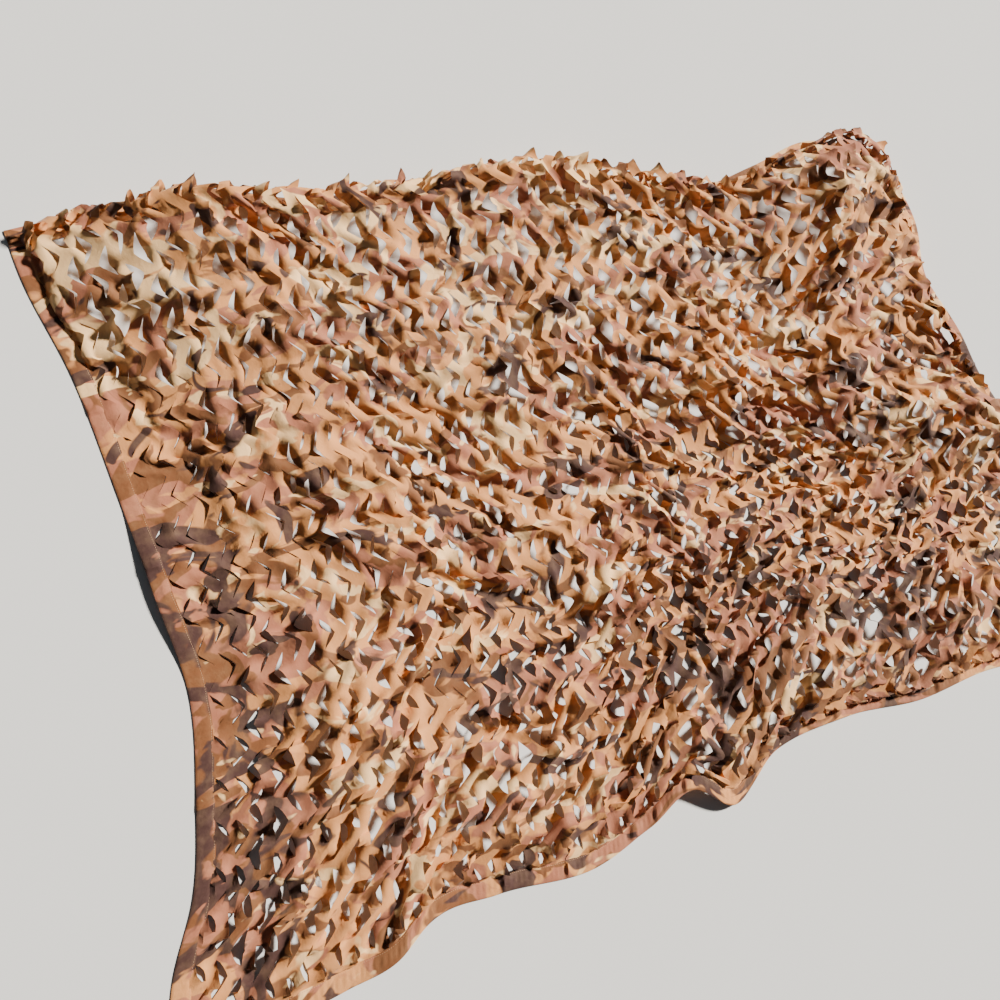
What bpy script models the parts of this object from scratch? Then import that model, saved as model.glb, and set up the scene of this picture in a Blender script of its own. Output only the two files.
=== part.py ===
"""Camouflage net, laid out over uneven ground and settled on a flat surface.

One printed cloth is slit in a staggered pattern and pulled open sideways, and
a tape is folded over each of its four edges.  Every piece starts as a flat
grid in cloth coordinates (s runs along the long side, t from the near edge to
the far one) and is laid down by the same function, so the tapes follow the
cloth with an even gap.  Units are metres, +Z is up.
"""

import bmesh
import bpy
import numpy as np

# Driving sizes of the cloth as it lies, pulled open.
LENGTH = 3.10            # along the long side
DEPTH = 2.30             # across, with the far edge that is turned over
CLOTH_THICKNESS = 0.0015

# Cut pattern, drawn at twice the pitch of the real slits.
LINE_PITCH = 0.087       # from one line of slits to the next
SLIT_PERIOD = 0.208      # from one slit to the next along a line
LIGAMENT = 0.031         # uncut cloth between two slits of a line
ZIGZAG = 0.026           # sideways swing of every line
LINES = 34
PERIODS = 10
FRONT_MARGIN = 0.050     # near edge to the first row of ligaments
WIDEST_GAP = 0.056       # of a slit where the cloth is stretched most
SMALLEST_GAP = 0.018     # a slit that would open less stays closed
LIP_TILT = 0.007         # one lip of a gap stands up, the other hangs

# Edge tape.
TAPE_WIDTH = 0.040
TAPE_THICKNESS = 0.0012
TAPE_OVERHANG = 0.003    # fold of the tape outside the cloth's edge
CLEARANCE = 0.0004       # between cloth and tape
TAPE_PUFF = 0.0008       # each leaf stands off this much more where an edge is lifted
PUFF_LIFT = 0.010        # lift from which it does so in full
TAPE_JOINT = 0.001       # between a side tape and the tapes it meets
HEM = 0.048              # cloth that stays flat under and beside a tape

MERGE = 1e-5             # lips closer than this are one uncut line

TAPE_HEIGHT = 2 * TAPE_THICKNESS + 2 * CLEARANCE + CLOTH_THICKNESS
CLOTH_UNDERSIDE = TAPE_THICKNESS + CLEARANCE

# Relief of the cloth inside its hems.
BASE_HEIGHT = 0.022
RIPPLE = 0.005           # shallow unevenness everywhere
RIPPLE_LONG = (9.0, 4.0)     # its waves per radian, along and across
RIPPLE_CROSS = (-3.0, 7.0)
HEM_BLEND = 0.16         # distance over which the relief rises from a hem
LEFT_BLEND = 0.44        # the same at the left hem, where it rises more gently

# Outline of the outer edges.  Columns: along, across.
FRONT_EDGE = [(-1.62, -1.250), (-1.40, -1.235), (-1.17, -1.212), (-1.02, -1.180),
              (-0.93, -1.122), (-0.71, -1.110), (-0.40, -1.128), (-0.22, -1.072),
              (-0.06, -1.004), (0.05, -1.084), (0.27, -0.975), (0.57, -0.945),
              (0.86, -0.968), (1.16, -0.944), (1.60, -0.985)]
BACK_EDGE = [(-1.64, 0.985), (-1.38, 1.030), (-1.12, 1.070), (-0.81, 1.012),
             (-0.40, 1.050), (-0.13, 1.070), (0.25, 1.010), (0.58, 0.935),
             (0.85, 1.000), (1.10, 1.080), (1.40, 1.035)]
LEFT_EDGE = [(-1.250, -1.620), (-1.050, -1.570), (-0.880, -1.490), (-0.640, -1.436),
             (-0.390, -1.403), (-0.110, -1.438), (0.180, -1.480), (0.550, -1.540),
             (0.850, -1.620), (0.985, -1.640)]
RIGHT_EDGE = [(-0.985, 1.600), (-0.600, 1.640), (-0.300, 1.650), (-0.030, 1.600),
              (0.190, 1.512), (0.400, 1.459), (0.550, 1.465), (0.710, 1.497),
              (0.850, 1.478), (1.035, 1.400)]

# Far edge, turned down behind a crest.  Columns: length of cloth from the
# edge, how far that point lies inside the edge, share of the crest's height.
BACK_TURN = [(0.000, 0.000, 0.00), (HEM, HEM, 0.00), (0.105, 0.050, 0.42),
             (0.136, 0.053, 0.66), (0.211, 0.070, 1.00), (0.242, 0.095, 1.00),
             (0.318, 0.175, 0.92), (0.530, 0.385, 0.48), (0.850, 0.705, 0.08),
             (1.000, 0.855, 0.00)]

# Height of that crest.  Columns: along, height.
CREST = [(-1.64, 0.100), (-1.38, 0.140), (-1.12, 0.128), (-0.81, 0.118),
         (-0.40, 0.110), (-0.13, 0.120), (0.25, 0.105), (0.58, 0.090),
         (0.85, 0.135), (1.10, 0.170), (1.40, 0.115)]

# Ridges and troughs.  Columns: start x, start y, end x, end y, half width, height.
FOLDS = [(1.08, 0.80, 0.94, 0.32, 0.13, 0.060),      # down from the far right hump
         (0.90, 0.08, 1.52, -0.10, 0.12, 0.080),     # right shoulder
         (0.35, 0.22, 0.66, 0.12, 0.16, 0.040),      # between the two
         (-0.60, 0.50, 0.30, 0.40, 0.30, 0.045),     # broad rise behind the middle
         (-0.36, -0.14, -0.15, -0.42, 0.09, 0.055),  # middle ridge
         (0.02, -0.76, 1.22, -0.70, 0.10, 0.045),    # along the near right side
         (-0.50, -0.84, -0.95, -0.92, 0.12, 0.030),  # along the near edge
         (-1.17, 0.32, -1.21, -0.08, 0.10, 0.040),   # left folds
         (-0.94, 0.22, -0.76, -0.16, 0.11, 0.050),
         (-1.37, 0.64, -1.02, 0.60, 0.11, 0.045),
         (-1.30, -0.52, -1.26, -0.98, 0.08, 0.045),  # beside the left edge
         (-1.08, -0.40, -0.98, -0.66, 0.15, 0.045),
         (0.08, 0.12, 0.64, -0.17, 0.11, -0.045),    # troughs
         (0.64, -0.17, 1.42, -0.53, 0.11, -0.060),
         (-0.60, -0.42, 0.12, -0.53, 0.12, -0.030),
         (0.12, -0.53, 0.99, -0.38, 0.10, -0.030),
         (-1.40, -0.02, -1.39, -0.22, 0.06, -0.040)]

# Places where an edge stands off the ground.  Columns: along, reach, height.
FRONT_LIFTS = [(-0.06, 0.22, 0.040), (-0.98, 0.18, 0.022), (0.42, 0.20, 0.012)]
LEFT_LIFTS = [(-0.16, 0.24, 0.016)]
RIGHT_LIFTS = [(0.06, 0.26, 0.040)]
LIFT_BLEND = 0.20        # distance over which a lift dies away inside the hem

# Slack places where the slits hardly open.  Columns: x, y, reach, share closed.
SLACK = [(-1.25, 0.12, 0.50, 0.95),
         (-1.10, -0.55, 0.34, 0.80),
         (-1.30, 0.72, 0.40, 0.55),
         (1.25, 0.75, 0.35, 0.55),
         (-0.30, -0.25, 0.26, 0.45)]


def through(table, column, at):
    """Smooth curve through one column of a table, read at an array of places."""
    rows = np.array(table)
    places, values = rows[:, 0], rows[:, column]
    slopes = np.gradient(values, places)
    at = np.clip(at, places[0], places[-1])
    left = np.clip(np.searchsorted(places, at, side="right") - 1, 0, len(places) - 2)
    span = places[left + 1] - places[left]
    part = (at - places[left]) / span
    return ((1 + 2 * part) * (1 - part) ** 2 * values[left]
            + part * (1 - part) ** 2 * span * slopes[left]
            + part ** 2 * (3 - 2 * part) * values[left + 1]
            + part ** 2 * (part - 1) * span * slopes[left + 1])


def straight(table, column, at):
    """Straight lines through one column of a table."""
    rows = np.array(table)
    return np.interp(at, rows[:, 0], rows[:, column])


def fade(distance, reach):
    """From 0 at the start to 1 at the reach, level at both ends."""
    part = np.clip(distance / reach, 0.0, 1.0)
    return part * part * (3 - 2 * part)


def edge_point(table, share, along_x):
    """Point at a share of an edge's length, measured between its end rows."""
    first, last = table[0][0], table[-1][0]
    along = first + (last - first) * share
    inside = np.clip(along, min(first, last), max(first, last))
    across = through(table, 1, inside)
    return (along, across) if along_x else (across, along)


def plan(s, t):
    """Where cloth coordinates lie in plan: a patch filled in between four edges."""
    u = s / LENGTH
    from_back = DEPTH - t
    inset = np.where(from_back < 0, from_back, straight(BACK_TURN, 1, from_back))
    beyond = BACK_TURN[-1]
    inset = np.where(from_back > beyond[0], beyond[1] + from_back - beyond[0], inset)
    spread = DEPTH - beyond[0] + beyond[1]
    v = 1 - inset / spread
    fx, fy = edge_point(FRONT_EDGE, u, True)
    bx, by = edge_point(BACK_EDGE, u, True)
    lx, ly = edge_point(LEFT_EDGE, v, False)
    rx, ry = edge_point(RIGHT_EDGE, v, False)
    corners = [(FRONT_EDGE[0], (1 - u) * (1 - v)), (FRONT_EDGE[-1], u * (1 - v)),
               (BACK_EDGE[0], (1 - u) * v), (BACK_EDGE[-1], u * v)]
    x = (1 - v) * fx + v * bx + (1 - u) * lx + u * rx
    y = (1 - v) * fy + v * by + (1 - u) * ly + u * ry
    for (corner_x, corner_y), weight in corners:
        x = x - weight * corner_x
        y = y - weight * corner_y
    return x, y


def to_segment(x, y, x0, y0, x1, y1):
    """Distance from points to a straight piece of ridge line."""
    along_x, along_y = x1 - x0, y1 - y0
    share = ((x - x0) * along_x + (y - y0) * along_y) / (along_x ** 2 + along_y ** 2)
    share = np.clip(share, 0.0, 1.0)
    return np.hypot(x - x0 - share * along_x, y - y0 - share * along_y)


def lifts(table, along):
    """Rounded humps along an edge, each exactly 0 from its reach on."""
    return sum(height * np.clip(1 - ((along - centre) / reach) ** 2, 0.0, 1.0) ** 2
               for centre, reach, height in table)


def edge_lift(s, t):
    """How far an edge, and the cloth beside it, stands off the ground."""
    front_x = FRONT_EDGE[0][0] + (FRONT_EDGE[-1][0] - FRONT_EDGE[0][0]) * s / LENGTH
    side_y = FRONT_EDGE[0][1] + (BACK_EDGE[0][1] - FRONT_EDGE[0][1]) * t / DEPTH
    front = lifts(FRONT_LIFTS, front_x) * (1 - fade(t - HEM, LIFT_BLEND))
    left = lifts(LEFT_LIFTS, side_y) * (1 - fade(s - HEM, LIFT_BLEND))
    right = lifts(RIGHT_LIFTS, side_y) * (1 - fade(LENGTH - HEM - s, LIFT_BLEND))
    return front + left + right


def relief(s, t):
    """Height of the cloth's underside: its hem, then ridges, troughs and the crest."""
    x, y = plan(s, t)
    slope = np.minimum(fade(np.minimum(LENGTH - s, t) - HEM, HEM_BLEND),
                       fade(s - HEM, LEFT_BLEND))
    ripple = (np.sin(RIPPLE_LONG[0] * x + RIPPLE_LONG[1] * y)
              * np.cos(RIPPLE_CROSS[0] * x + RIPPLE_CROSS[1] * y))
    height = BASE_HEIGHT + RIPPLE * ripple
    for x0, y0, x1, y1, half_width, rise in FOLDS:
        distance = to_segment(x, y, x0, y0, x1, y1)
        height = height + rise * np.exp(-(distance / half_width) ** 2)
    from_back = DEPTH - t
    height = np.maximum(height, 0.0) * fade(from_back - HEM, HEM_BLEND)
    height = height + straight(BACK_TURN, 2, from_back) * through(CREST, 1, x)
    return CLOTH_UNDERSIDE + edge_lift(s, t) + height * slope


def opening(s, t):
    """Width that a slit opens to at a place on the cloth."""
    x, y = plan(s, t)
    width = np.full_like(x, WIDEST_GAP)
    for cx, cy, reach, closed in SLACK:
        width = width * (1 - closed * np.exp(-(np.hypot(x - cx, y - cy) / reach) ** 2))
    return width


def cloth_rows():
    """Places of the grid's rows: hems, then both edges of every ligament."""
    rows = [0.0, HEM]
    for half in range(2 * PERIODS + 1):
        middle = FRONT_MARGIN + half * SLIT_PERIOD / 2
        rows += [middle - LIGAMENT / 2, middle + LIGAMENT / 2]
    rows = [row for row in rows if row <= 0.0 or row >= HEM] + [DEPTH - HEM, DEPTH]
    return np.array(sorted(rows))


def cloth_columns():
    """Places of the grid's columns: hems, and two lips for every line of slits."""
    margin = (LENGTH - (LINES - 1) * LINE_PITCH) / 2
    lines = margin + LINE_PITCH * np.arange(LINES)
    return np.concatenate([[0.0, HEM], np.repeat(lines, 2), [LENGTH - HEM, LENGTH]])


def material(name, colour, roughness):
    surface = bpy.data.materials.new(name)
    surface.use_nodes = True
    shader = surface.node_tree.nodes["Principled BSDF"]
    shader.inputs["Base Color"].default_value = (*colour, 1.0)
    shader.inputs["Roughness"].default_value = roughness
    shader.inputs["Metallic"].default_value = 0.0
    return surface


def flat_grid(columns, rows):
    """A grid of quads whose vertices carry their column and row numbers."""
    grid = bmesh.new()
    bmesh.ops.create_grid(grid, x_segments=columns, y_segments=rows, size=0.5)
    column = grid.verts.layers.int.new("column")
    row = grid.verts.layers.int.new("row")
    for vertex in grid.verts:
        vertex[column] = round((vertex.co.x + 0.5) * columns)
        vertex[row] = round((vertex.co.y + 0.5) * rows)
    return grid, column, row


def finish_sheet(name, grid, thickness, offset, even, surface, collection):
    """Turn a laid grid into an object with real thickness."""
    mesh = bpy.data.meshes.new(name)
    grid.to_mesh(mesh)
    grid.free()
    mesh.materials.append(surface)
    sheet = bpy.data.objects.new(name, mesh)
    collection.objects.link(sheet)
    solidify = sheet.modifiers.new("thickness", "SOLIDIFY")
    solidify.thickness = thickness
    solidify.offset = offset
    solidify.use_even_offset = even
    return sheet


def make_cloth(surface, collection):
    """The slit cloth: strips that swing from side to side, with gaps between them."""
    columns, rows = cloth_columns(), cloth_rows()
    grid, column, row = flat_grid(len(columns) - 1, len(rows) - 1)

    # Ligament rows, counted in half periods from the near edge.
    half = (rows - FRONT_MARGIN) / (SLIT_PERIOD / 2)
    row_half = np.rint(half).astype(int)
    is_row = (rows >= HEM) & (rows <= DEPTH - HEM)
    inner = np.abs(half - row_half) * SLIT_PERIOD / 2 < LIGAMENT
    swing = np.where(is_row & inner, np.where(row_half % 2 == 0, 1.0, -1.0), 0.0)
    swing[:2] = swing[-2:] = 0.0

    last_half = 2 * PERIODS
    gap = np.zeros((len(columns), len(rows)))
    cut_rows = {}
    for line in range(LINES):
        left = 2 + 2 * line
        for centre in range(1 if line % 2 == 0 else 2, last_half, 2):
            width = float(opening(np.array([columns[left]]),
                                  np.array([FRONT_MARGIN + centre * SLIT_PERIOD / 2]))[0])
            if width < SMALLEST_GAP:
                continue
            inside = np.flatnonzero(inner & (row_half == centre))
            gap[left, inside] = -width / 2
            gap[left + 1, inside] = width / 2
            cut_rows[line, centre] = (inside[0] - 1, inside[-1])

    doomed = []
    for face in grid.faces:
        lowest_column = min(vertex[column] for vertex in face.verts)
        lowest_row = min(vertex[row] for vertex in face.verts)
        line, is_strip = divmod(lowest_column - 2, 2)
        if is_strip or not 0 <= line < LINES:
            continue
        if any(cut_line == line and first <= lowest_row <= last
               for (cut_line, _), (first, last) in cut_rows.items()):
            doomed.append(face)
    bmesh.ops.delete(grid, geom=doomed, context="FACES")

    at_column = np.array([vertex[column] for vertex in grid.verts])
    at_row = np.array([vertex[row] for vertex in grid.verts])
    is_line = (at_column >= 2) & (at_column < 2 + 2 * LINES)
    shift = gap[at_column, at_row]
    s = columns[at_column] + np.where(is_line, ZIGZAG * swing[at_row], 0.0) + shift
    t = rows[at_row]
    x, y = plan(s, t)
    tilt = -np.sign(shift) * LIP_TILT
    z = np.maximum(relief(s, t) + tilt, CLOTH_UNDERSIDE)
    for vertex, place in zip(grid.verts, zip(x, y, z)):
        vertex.co = place
    bmesh.ops.remove_doubles(grid, verts=grid.verts, dist=MERGE)
    print(len(cut_rows), "gaps cut")
    return finish_sheet("net_cloth", grid, CLOTH_THICKNESS, 1.0, False, surface, collection)


def make_tape(name, stations, along_long_side, at_far_end, surface, collection):
    """A tape folded over one edge: lower leaf, fold and upper leaf, then thickness."""
    leaves = [(TAPE_WIDTH, 0.0, -TAPE_PUFF), (-TAPE_OVERHANG, 0.0, -TAPE_PUFF),
              (-TAPE_OVERHANG, TAPE_HEIGHT, TAPE_PUFF), (TAPE_WIDTH, TAPE_HEIGHT, TAPE_PUFF)]
    grid, column, row = flat_grid(len(stations) - 1, len(leaves) - 1)
    for vertex in grid.verts:
        along = stations[vertex[column]]
        inset, level, puff = leaves[vertex[row]]
        limit = DEPTH if along_long_side else LENGTH
        across = limit - inset if at_far_end else inset
        s, t = (along, across) if along_long_side else (across, along)
        s, t = np.array([s]), np.array([t])
        x, y = plan(s, t)
        lift = edge_lift(s, t)[0]
        vertex.co = (x[0], y[0], level + lift + puff * min(lift / PUFF_LIFT, 1.0))
    turned = along_long_side == at_far_end
    if turned:
        bmesh.ops.reverse_faces(grid, faces=grid.faces)
    return finish_sheet(name, grid, TAPE_THICKNESS, -1.0, True, surface, collection)


def centre_on_origin(pieces):
    """Put the middle of the pieces' outline over the origin; their feet stay at z = 0."""
    graph = bpy.context.evaluated_depsgraph_get()
    corners = np.array([corner[:] for piece in pieces
                        for corner in piece.evaluated_get(graph).bound_box])
    middle = (corners.min(axis=0) + corners.max(axis=0)) / 2
    for piece in pieces:
        piece.location = (-middle[0], -middle[1], 0.0)
    print("outline centred from", middle[:2])


def main():
    for old in list(bpy.data.objects):
        bpy.data.objects.remove(old, do_unlink=True)
    collection = bpy.data.collections.new("camouflage_net")
    bpy.context.scene.collection.children.link(collection)

    print_cloth = material("printed_cloth", (0.56, 0.37, 0.24), 0.85)
    print_tape = material("printed_tape", (0.60, 0.41, 0.28), 0.80)
    pieces = [make_cloth(print_cloth, collection)]

    columns = np.unique(cloth_columns())
    rows = cloth_rows()
    columns[0], columns[-1] = -TAPE_OVERHANG, LENGTH + TAPE_OVERHANG
    side_start = TAPE_WIDTH + TAPE_JOINT
    sides = rows[(rows > side_start) & (rows < DEPTH - side_start)]
    sides = np.concatenate([[side_start], sides, [DEPTH - side_start]])
    tapes = [("binding_front", columns, True, False), ("binding_back", columns, True, True),
             ("binding_left", sides, False, False), ("binding_right", sides, False, True)]
    for name, stations, along_long_side, at_far_end in tapes:
        pieces.append(make_tape(name, stations, along_long_side, at_far_end,
                                print_tape, collection))
    centre_on_origin(pieces)


main()
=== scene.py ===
import bpy
import numpy as np
from mathutils import Matrix, Vector


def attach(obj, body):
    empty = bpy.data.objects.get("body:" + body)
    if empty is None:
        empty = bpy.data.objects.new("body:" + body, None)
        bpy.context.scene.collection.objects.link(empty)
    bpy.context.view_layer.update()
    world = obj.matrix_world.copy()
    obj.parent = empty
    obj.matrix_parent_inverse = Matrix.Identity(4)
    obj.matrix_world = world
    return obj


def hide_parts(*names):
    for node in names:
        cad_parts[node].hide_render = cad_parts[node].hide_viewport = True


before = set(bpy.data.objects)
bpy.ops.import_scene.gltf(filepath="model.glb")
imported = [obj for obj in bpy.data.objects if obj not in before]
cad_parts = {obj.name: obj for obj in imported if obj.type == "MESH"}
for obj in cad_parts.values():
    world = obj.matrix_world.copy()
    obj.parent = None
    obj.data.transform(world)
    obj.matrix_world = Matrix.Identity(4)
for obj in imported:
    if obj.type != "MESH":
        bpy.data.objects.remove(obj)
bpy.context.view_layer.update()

# The same surface as the solids lie on, in metres. Cloth coordinates: s runs along
# the long side, t from the near edge to the far one.
lay = {
    "length": 3.10, "depth": 2.30,
    "middle": (0.00632411, -0.08447528),     # of the outline, moved onto the origin
    "hem": 0.048, "hemBlend": 0.16, "leftBlend": 0.44, "liftBlend": 0.20,
    "underside": 0.0016,                     # of the cloth, above its edge tape's lower leaf
    "base": 0.022, "ripple": 0.005, "rippleLong": (9.0, 4.0), "rippleCross": (-3.0, 7.0),
    # outline of the outer edges: along, across
    "front": [(-1.62, -1.250), (-1.40, -1.235), (-1.17, -1.212), (-1.02, -1.180),
              (-0.93, -1.122), (-0.71, -1.110), (-0.40, -1.128), (-0.22, -1.072),
              (-0.06, -1.004), (0.05, -1.084), (0.27, -0.975), (0.57, -0.945),
              (0.86, -0.968), (1.16, -0.944), (1.60, -0.985)],
    "back": [(-1.64, 0.985), (-1.38, 1.030), (-1.12, 1.070), (-0.81, 1.012),
             (-0.40, 1.050), (-0.13, 1.070), (0.25, 1.010), (0.58, 0.935),
             (0.85, 1.000), (1.10, 1.080), (1.40, 1.035)],
    "left": [(-1.250, -1.620), (-1.050, -1.570), (-0.880, -1.490), (-0.640, -1.436),
             (-0.390, -1.403), (-0.110, -1.438), (0.180, -1.480), (0.550, -1.540),
             (0.850, -1.620), (0.985, -1.640)],
    "right": [(-0.985, 1.600), (-0.600, 1.640), (-0.300, 1.650), (-0.030, 1.600),
              (0.190, 1.512), (0.400, 1.459), (0.550, 1.465), (0.710, 1.497),
              (0.850, 1.478), (1.035, 1.400)],
    # far edge, turned down behind a crest: cloth from the edge, inset, share of height
    "backTurn": [(0.000, 0.000, 0.00), (0.048, 0.048, 0.00), (0.105, 0.050, 0.42),
                 (0.136, 0.053, 0.66), (0.211, 0.070, 1.00), (0.242, 0.095, 1.00),
                 (0.318, 0.175, 0.92), (0.530, 0.385, 0.48), (0.850, 0.705, 0.08),
                 (1.000, 0.855, 0.00)],
    # height of the crest: along, height
    "crest": [(-1.64, 0.100), (-1.38, 0.140), (-1.12, 0.128), (-0.81, 0.118),
              (-0.40, 0.110), (-0.13, 0.120), (0.25, 0.105), (0.58, 0.090),
              (0.85, 0.135), (1.10, 0.170), (1.40, 0.115)],
    # ridges and troughs: start x, start y, end x, end y, half width, height
    "folds": [(1.08, 0.80, 0.94, 0.32, 0.13, 0.060), (0.90, 0.08, 1.52, -0.10, 0.12, 0.080),
              (0.35, 0.22, 0.66, 0.12, 0.16, 0.040), (-0.60, 0.50, 0.30, 0.40, 0.30, 0.045),
              (-0.36, -0.14, -0.15, -0.42, 0.09, 0.055), (0.02, -0.76, 1.22, -0.70, 0.10, 0.045),
              (-0.50, -0.84, -0.95, -0.92, 0.12, 0.030), (-1.17, 0.32, -1.21, -0.08, 0.10, 0.040),
              (-0.94, 0.22, -0.76, -0.16, 0.11, 0.050), (-1.37, 0.64, -1.02, 0.60, 0.11, 0.045),
              (-1.30, -0.52, -1.26, -0.98, 0.08, 0.045), (-1.08, -0.40, -0.98, -0.66, 0.15, 0.045),
              (0.08, 0.12, 0.64, -0.17, 0.11, -0.045), (0.64, -0.17, 1.42, -0.53, 0.11, -0.060),
              (-0.60, -0.42, 0.12, -0.53, 0.12, -0.030), (0.12, -0.53, 0.99, -0.38, 0.10, -0.030),
              (-1.40, -0.02, -1.39, -0.22, 0.06, -0.040)],
    # places where an edge stands off the ground: along, reach, height
    "frontLifts": [(-0.06, 0.22, 0.040), (-0.98, 0.18, 0.022), (0.42, 0.20, 0.012)],
    "leftLifts": [(-0.16, 0.24, 0.016)],
    "rightLifts": [(0.06, 0.26, 0.040)],
}


# Smooth curve through one column of a table: cubic pieces whose slopes are the
# differences between neighbouring rows.
def through(table, column, at):
    rows = np.array(table)
    places, values = rows[:, 0], rows[:, column]
    slopes = np.gradient(values, places)
    at = np.clip(at, places[0], places[-1])
    left = np.clip(np.searchsorted(places, at, side="right") - 1, 0, len(places) - 2)
    span = places[left + 1] - places[left]
    part = (at - places[left]) / span
    return ((1 + 2 * part) * (1 - part) ** 2 * values[left]
            + part * (1 - part) ** 2 * span * slopes[left]
            + part ** 2 * (3 - 2 * part) * values[left + 1]
            + part ** 2 * (part - 1) * span * slopes[left + 1])


# Straight lines through one column of a table.
def straight(table, column, at):
    rows = np.array(table)
    return np.interp(at, rows[:, 0], rows[:, column])


# From 0 at the start to 1 at the reach, level at both ends: 3 p^2 - 2 p^3.
def fade(distance, reach):
    part = np.clip(distance / reach, 0.0, 1.0)
    return part * part * (3 - 2 * part)


# Point of an outer edge at a share of its way: the smooth curve through its table.
def edgePoint(table, share, alongX):
    first, last = table[0][0], table[-1][0]
    along = first + (last - first) * share
    across = through(table, 1, np.clip(along, min(first, last), max(first, last)))
    return (along, across) if alongX else (across, along)


# Patch filled in between the four edges: the two blends of opposite edges, less the
# blend of the four corners. The far edge is drawn in as far as it turns down.
def plan(s, t):
    u = s / lay["length"]
    fromBack = lay["depth"] - t
    lastLength, lastInset = lay["backTurn"][-1][:2]
    inset = np.where(fromBack < 0, fromBack, straight(lay["backTurn"], 1, fromBack))
    inset = np.where(fromBack > lastLength, lastInset + fromBack - lastLength, inset)
    v = 1 - inset / (lay["depth"] - lastLength + lastInset)
    fx, fy = edgePoint(lay["front"], u, True)
    bx, by = edgePoint(lay["back"], u, True)
    lx, ly = edgePoint(lay["left"], v, False)
    rx, ry = edgePoint(lay["right"], v, False)
    x = (1 - v) * fx + v * bx + (1 - u) * lx + u * rx
    y = (1 - v) * fy + v * by + (1 - u) * ly + u * ry
    corners = [(lay["front"][0], (1 - u) * (1 - v)), (lay["front"][-1], u * (1 - v)),
               (lay["back"][0], (1 - u) * v), (lay["back"][-1], u * v)]
    for (cornerX, cornerY), weight in corners:
        x = x - weight * cornerX
        y = y - weight * cornerY
    return x, y


# Distance to a straight piece: that to its nearest point, which is the foot of the
# upright on it or else an end.
def toSegment(x, y, x0, y0, x1, y1):
    alongX, alongY = x1 - x0, y1 - y0
    share = ((x - x0) * alongX + (y - y0) * alongY) / (alongX ** 2 + alongY ** 2)
    share = np.clip(share, 0.0, 1.0)
    return np.hypot(x - x0 - share * alongX, y - y0 - share * alongY)


# Rounded humps along an edge: height times (1 - distance^2)^2 inside each reach.
def lifts(table, along):
    return sum(height * np.clip(1 - ((along - centre) / reach) ** 2, 0.0, 1.0) ** 2
               for centre, reach, height in table)


# Lift of the cloth by its edges' humps, each fading inwards from its hem.
def edgeLift(s, t):
    frontStart, frontEnd = lay["front"][0], lay["front"][-1]
    frontX = frontStart[0] + (frontEnd[0] - frontStart[0]) * s / lay["length"]
    sideY = frontStart[1] + (lay["back"][0][1] - frontStart[1]) * t / lay["depth"]
    hem, blend = lay["hem"], lay["liftBlend"]
    return (lifts(lay["frontLifts"], frontX) * (1 - fade(t - hem, blend))
            + lifts(lay["leftLifts"], sideY) * (1 - fade(s - hem, blend))
            + lifts(lay["rightLifts"], sideY) * (1 - fade(lay["length"] - hem - s, blend)))


# Height of the cloth: a shallow ripple, bell-shaped ridges and troughs, and the crest,
# all of them fading to the flat hem.
def relief(s, t):
    x, y = plan(s, t)
    fromBack = lay["depth"] - t
    fromHem = np.minimum(lay["length"] - s, t) - lay["hem"]
    slope = np.minimum(fade(fromHem, lay["hemBlend"]), fade(s - lay["hem"], lay["leftBlend"]))
    (longX, longY), (crossX, crossY) = lay["rippleLong"], lay["rippleCross"]
    height = (lay["base"] + lay["ripple"] * np.sin(longX * x + longY * y)
              * np.cos(crossX * x + crossY * y))
    for x0, y0, x1, y1, halfWidth, rise in lay["folds"]:
        height = height + rise * np.exp(-(toSegment(x, y, x0, y0, x1, y1) / halfWidth) ** 2)
    height = np.maximum(height, 0.0) * fade(fromBack - lay["hem"], lay["hemBlend"])
    height = height + straight(lay["backTurn"], 2, fromBack) * through(lay["crest"], 1, x)
    return lay["underside"] + edgeLift(s, t) + height * slope


# Sum of bell-shaped spots: amount times exp(-(distance / reach)^2).
def spots(x, y, table):
    return sum(amount * np.exp(-((x - cx) ** 2 + (y - cy) ** 2) / reach ** 2)
               for cx, cy, reach, amount in table)


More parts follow.
